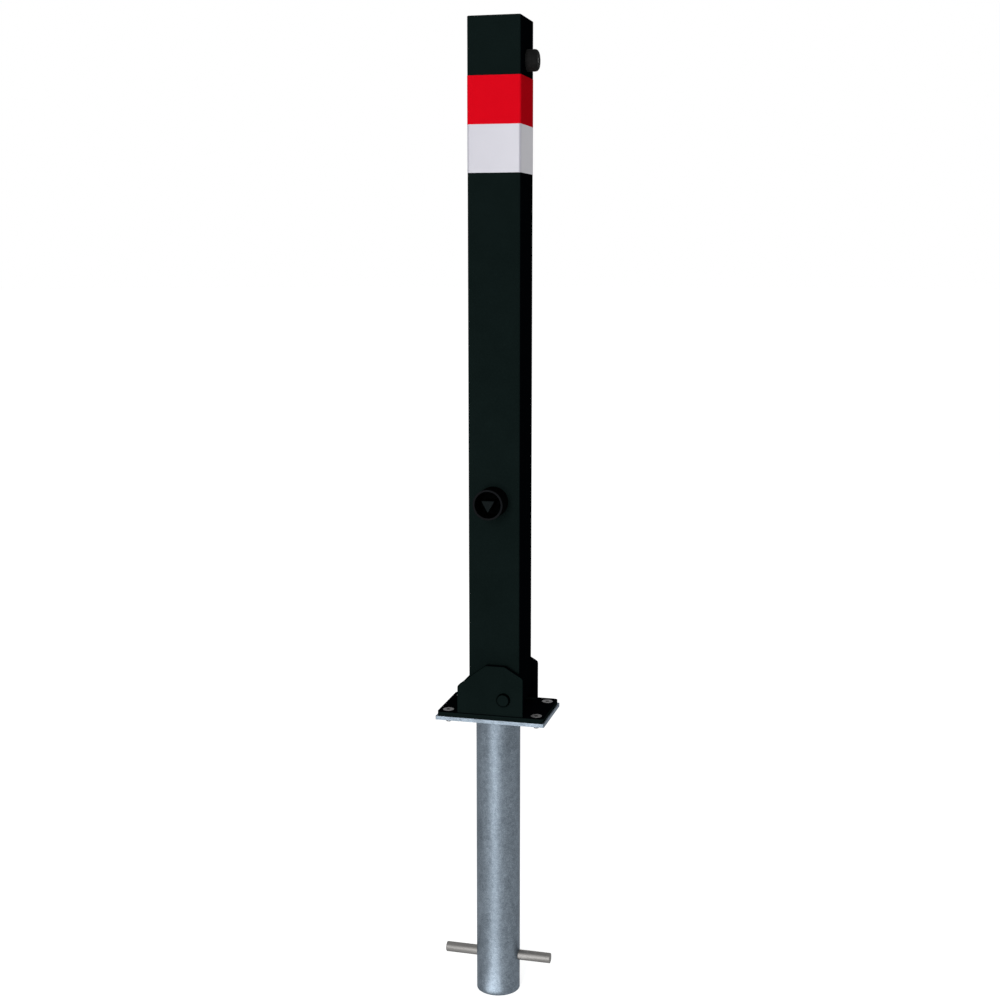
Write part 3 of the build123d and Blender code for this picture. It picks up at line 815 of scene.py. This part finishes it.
def key_collar():
    wall = 2.5 * MM
    inner = collar_radius - wall
    length = collar_high.y - collar_low.y
    edge = 0.45 * MM
    profile = [
        (inner, 0),
        (collar_radius, 0),
        *corner_arc(collar_radius - edge, length - edge, edge, 0, 90, count=4),
        *corner_arc(inner + edge, length - edge, edge, 90, 180, count=4),
    ]
    mesh = turned(profile, steps=96, closed=True)
    put(mesh, Vector((post_x, collar_high.y, lock_z)), -Y_AXIS)
    piece("key_collar", mesh, "post", "black_coat", "lock_collar", finish=collar_coat_painted_shade())


# Rubber buffer with a rolled end, a mould line round its side and a recess for the screw

def rubber_buffer():
    radius = (buffer_high.z - buffer_low.z) / 2
    length = buffer_high.x - buffer_low.x
    rounding = 4.5 * MM
    bore = 2.25 * MM
    recess = 3.75 * MM
    recess_depth = 4.5 * MM
    lip = 0.4 * MM
    foot = 0.5 * MM
    mould_line = 9.0 * MM
    ridge = 0.2 * MM
    profile = [
        (bore, 0),
        (radius - foot, 0),
        (radius, foot),
        (radius, mould_line - ridge),
        (radius + ridge, mould_line),
        (radius, mould_line + ridge),
        *corner_arc(radius - rounding, length - rounding, rounding, 0, 90, count=9),
        *corner_arc(recess + lip, length - lip, lip, 90, 180, count=4),
        (recess, length - recess_depth),
        (bore, length - recess_depth),
    ]
    mesh = turned(profile, steps=96, closed=True)
    put(mesh, Vector((buffer_low.x, 0, buffer_z)), X_AXIS)
    piece("rubber_buffer", mesh, "post", "rubber", "buffer")


def buffer_screw():
    radius = (buffer_screw_high.z - buffer_screw_low.z) / 2
    length = buffer_screw_high.x - buffer_screw_low.x
    head = 4.0 * MM
    edge = 0.5 * MM
    core = 1.6 * MM
    crest = 2.0 * MM
    pitch = 0.7 * MM
    shank_end = head + 3.0 * MM
    core_start = head + 3.6 * MM
    ridge_bottom = -length + 0.2 * MM
    body = turned([
        *corner_arc(radius - edge, -edge, edge, 90, 0),
        (radius, -head),
        (crest, -head),
        (crest, -shank_end),
        (core, -core_start),
        (core, -length),
        (0, -length),
    ])
    socket = hexagon_socket(radius - edge, half_width=1.5 * MM, depth=2.0 * MM, height=0)
    ridge = thread(core, crest, pitch, ridge_bottom, -shank_end)
    mesh = joined(body, socket, ridge)
    put(mesh, Vector((buffer_screw_high.x, 0, buffer_z)), X_AXIS)
    piece("buffer_socket_screw", mesh, "post", "zinc_plate", "buffer_screw")


# Reflective films, wrapped once round the post and lapped over at the back

FILM = 0.3 * MM
LAP = 12.0 * MM
FILM_CORNER = 3.0 * MM


def round_square(half, corner, count=8):
    """Points of a square's four rounded corners, from the back left one round by the front."""
    points = []
    for quarter, (side_x, side_y) in enumerate(((-1, 1), (-1, -1), (1, -1), (1, 1))):
        centre_x = side_x * (half - corner)
        centre_y = side_y * (half - corner)
        for step in range(count + 1):
            angle = math.radians(90 + 90 * quarter + 90 * step / count)
            points.append((centre_x + corner * math.cos(angle), centre_y + corner * math.sin(angle)))
    return points


def wrapped_film(name, low, high, slot, node):
    half = (post_high.x - post_low.x) / 2
    start = LAP / 2
    rise_foot = start + 1.5 * MM
    rise_head = start + 0.5 * MM
    path = [
        (start, half),
        *round_square(half, FILM_CORNER),
        (rise_foot, half),
        (rise_head, half + FILM),
        (-start, half + FILM),
    ]
    mesh = bmesh.new()
    points = [mesh.verts.new((post_x + x, y, low.z)) for x, y in path]
    edges = outline(mesh, points, closed=False)
    risen = bmesh.ops.extrude_edge_only(mesh, edges=edges)["geom"]
    bmesh.ops.translate(mesh, verts=verts_of(risen), vec=(0, 0, high.z - low.z))
    bmesh.ops.recalc_face_normals(mesh, faces=mesh.faces)
    middle = Vector((post_x, 0, low.z))
    outward = sum(face.normal.dot(face.calc_center_median() - middle) for face in mesh.faces)
    if outward < 0:
        bmesh.ops.reverse_faces(mesh, faces=mesh.faces)
    bmesh.ops.solidify(mesh, geom=mesh.faces, thickness=-FILM)
    piece(name, mesh, "post", slot, node)


# Weld beads

PLATE_LEG = 2.4 * MM
STOP_LEG = 1.4 * MM
PIPE_LEG = 3.2 * MM
COLLAR_LEG = 2.0 * MM


def weld_beads():
    inset = 1.0 * MM
    left = ear_low.x + inset
    right = ear_high.x - inset
    ground = plate_high.z
    for name, face_y, inward in (("front", ear_high.y, Y_AXIS), ("rear", rear_ear_low.y, -Y_AXIS)):
        start = Vector((left, face_y, ground))
        end = Vector((right, face_y, ground))
        mesh = bead_along(start, end, inward, Z_AXIS, PLATE_LEG)
        piece(f"weld_{name}_ear", mesh, "root", "black_coat")
        foot = Vector((stop_low.x, face_y, ground))
        head = Vector((stop_low.x, face_y, stop_high.z - 0.5 * MM))
        mesh = bead_along(foot, head, inward, -X_AXIS, STOP_LEG)
        piece(f"weld_{name}_stop", mesh, "root", "black_coat")
    start = Vector((stop_low.x, ear_high.y, ground))
    end = Vector((stop_low.x, rear_ear_low.y, ground))
    mesh = bead_along(start, end, -X_AXIS, Z_AXIS, PLATE_LEG)
    piece("weld_stop_foot", mesh, "root", "black_coat")
    pipe_radius = (pipe_high.x - pipe_low.x) / 2
    mesh = bead_around(Vector((0, 0, flange_low.z)), -Z_AXIS, pipe_radius, PIPE_LEG)
    piece("weld_pipe", mesh, "root", "galvanised")
    mesh = bead_around(Vector((post_x, collar_high.y, lock_z)), -Y_AXIS, collar_radius, COLLAR_LEG)
    piece("weld_collar", mesh, "post", "black_coat")


eased_steel()
cross_bar()
foot_screws()
hinge_bolt()
key_collar()
rubber_buffer()
buffer_screw()
wrapped_film("red_film_wrap", red_low, red_high, "red_film", "red_band")
wrapped_film("white_film_wrap", white_low, white_high, "white_film", "white_band")
weld_beads()


# Studio: pale floor, white surroundings, one tall soft lamp in front and strips of light below it

FLOOR_REACH = 40.0
FLOOR_PAINT = (0.8, 0.8, 0.8, 1)
FLOOR_GLOW = 0.73
AMBIENT = 0.37
LAMP_WIDTH = 1.1
LAMP_HEIGHT = 2.4
LAMP_DISTANCE = 3.4
LAMP_AZIMUTH = math.radians(-4.0)
LAMP_POWER = 68.0
TOWARDS_LAMP = Vector((math.sin(LAMP_AZIMUTH), -math.cos(LAMP_AZIMUTH), 0))

# Near end, far end and glow of each strip
STRIPS = ((0.035, 0.2, 5.4), (0.2, 0.6, 4.8), (0.6, 1.4, 5.8), (1.4, 3.2, 7.0))
STRIP_SPREAD = math.radians(10.0)


def larger(tree, first, second):
    node = tree.nodes.new("ShaderNodeMath")
    node.operation = "MAXIMUM"
    tree.links.new(first, node.inputs[0])
    tree.links.new(second, node.inputs[1])
    return node.outputs["Value"]


def white_surroundings():
    """White for the camera and in reflections, and a plain level of light on the object."""
    world = bpy.data.worlds.new("white_surroundings")
    bpy.context.scene.world = world
    world.use_nodes = True
    tree = world.node_tree
    background = tree.nodes["Background"]
    background.inputs["Color"].default_value = WHITE
    rays = tree.nodes.new("ShaderNodeLightPath").outputs
    seen = larger(tree, rays["Is Camera Ray"], rays["Is Glossy Ray"])
    seen = larger(tree, seen, rays["Is Transmission Ray"])
    level = tree.nodes.new("ShaderNodeMapRange")
    level.inputs["To Min"].default_value = AMBIENT
    level.inputs["To Max"].default_value = 1.0
    tree.links.new(seen, level.inputs["Value"])
    tree.links.new(level.outputs["Result"], background.inputs["Strength"])


def pale_floor():
    mesh = bmesh.new()
    bmesh.ops.create_circle(mesh, cap_ends=True, segments=96, radius=FLOOR_REACH)
    bmesh.ops.translate(mesh, verts=mesh.verts, vec=(0, 0, cad_low.z))
    data = bpy.data.meshes.new("floor")
    mesh.to_mesh(data)
    mesh.free()
    floor = bpy.data.objects.new("floor", data)
    bpy.context.scene.collection.objects.link(floor)
    material = bpy.data.materials.new("pale_floor")
    material.use_nodes = True
    tree = material.node_tree
    paint = tree.nodes["Principled BSDF"]
    paint.inputs["Base Color"].default_value = FLOOR_PAINT
    paint.inputs["Roughness"].default_value = 1.0
    paint.inputs["Specular IOR Level"].default_value = 0.0
    paint.inputs["Emission Color"].default_value = WHITE
    rays = tree.nodes.new("ShaderNodeLightPath").outputs
    glow = tree.nodes.new("ShaderNodeMath")
    glow.operation = "MULTIPLY"
    glow.inputs[1].default_value = FLOOR_GLOW
    tree.links.new(larger(tree, rays["Is Camera Ray"], rays["Is Glossy Ray"]), glow.inputs[0])
    tree.links.new(glow.outputs["Value"], paint.inputs["Emission Strength"])
    data.materials.append(material)


def soft_lamp(name, width, length):
    lamp = bpy.data.lights.new(name, "AREA")
    lamp.shape = "RECTANGLE"
    lamp.size = width
    lamp.size_y = length
    holder = bpy.data.objects.new(name, lamp)
    bpy.context.scene.collection.objects.link(holder)
    return holder


def front_lamp():
    """A tall soft lamp that stands upright on the floor, facing the bollard."""
    holder = soft_lamp("front_lamp", LAMP_WIDTH, LAMP_HEIGHT)
    holder.data.energy = LAMP_POWER
    holder.location = TOWARDS_LAMP * LAMP_DISTANCE + Z_AXIS * (cad_low.z + LAMP_HEIGHT / 2)
    holder.rotation_euler = (-TOWARDS_LAMP).to_track_quat("-Z", "Y").to_euler()


def floor_strips():
    """Strips on the floor, widening towards the lamp, that carry its gloss down the socket pipe."""
    facing_up = Matrix((Z_AXIS.cross(TOWARDS_LAMP), TOWARDS_LAMP, -Z_AXIS)).transposed()
    for number, (near, far, glow) in enumerate(STRIPS, 1):
        middle = (near + far) / 2
        holder = soft_lamp(f"floor_strip_{number}", 2 * middle * math.tan(STRIP_SPREAD), far - near)
        holder.data.energy = math.pi * holder.data.size * holder.data.size_y * glow
        holder.location = TOWARDS_LAMP * middle + Z_AXIS * (cad_low.z + MM)
        holder.rotation_euler = facing_up.to_euler()
        holder.visible_camera = False
        holder.visible_diffuse = False


# Camera, fitted to the photograph's edges

CAMERA_PLACE = Vector((491.3, -1906.5, 624.2)) * MM
CAMERA_PITCH = 9.482
CAMERA_YAW = 14.386
CAMERA_LENS = 53.74
CAMERA_SENSOR = 36


def photo_camera():
    camera = bpy.data.cameras.new("camera")
    camera.lens = CAMERA_LENS
    camera.sensor_width = CAMERA_SENSOR
    holder = bpy.data.objects.new("camera", camera)
    holder.location = CAMERA_PLACE
    holder.rotation_euler = (math.radians(90 - CAMERA_PITCH), 0, math.radians(CAMERA_YAW))
    bpy.context.scene.collection.objects.link(holder)
    bpy.context.scene.camera = holder


white_surroundings()
pale_floor()
front_lamp()
floor_strips()
photo_camera()
bpy.context.scene.view_settings.view_transform = "Standard"
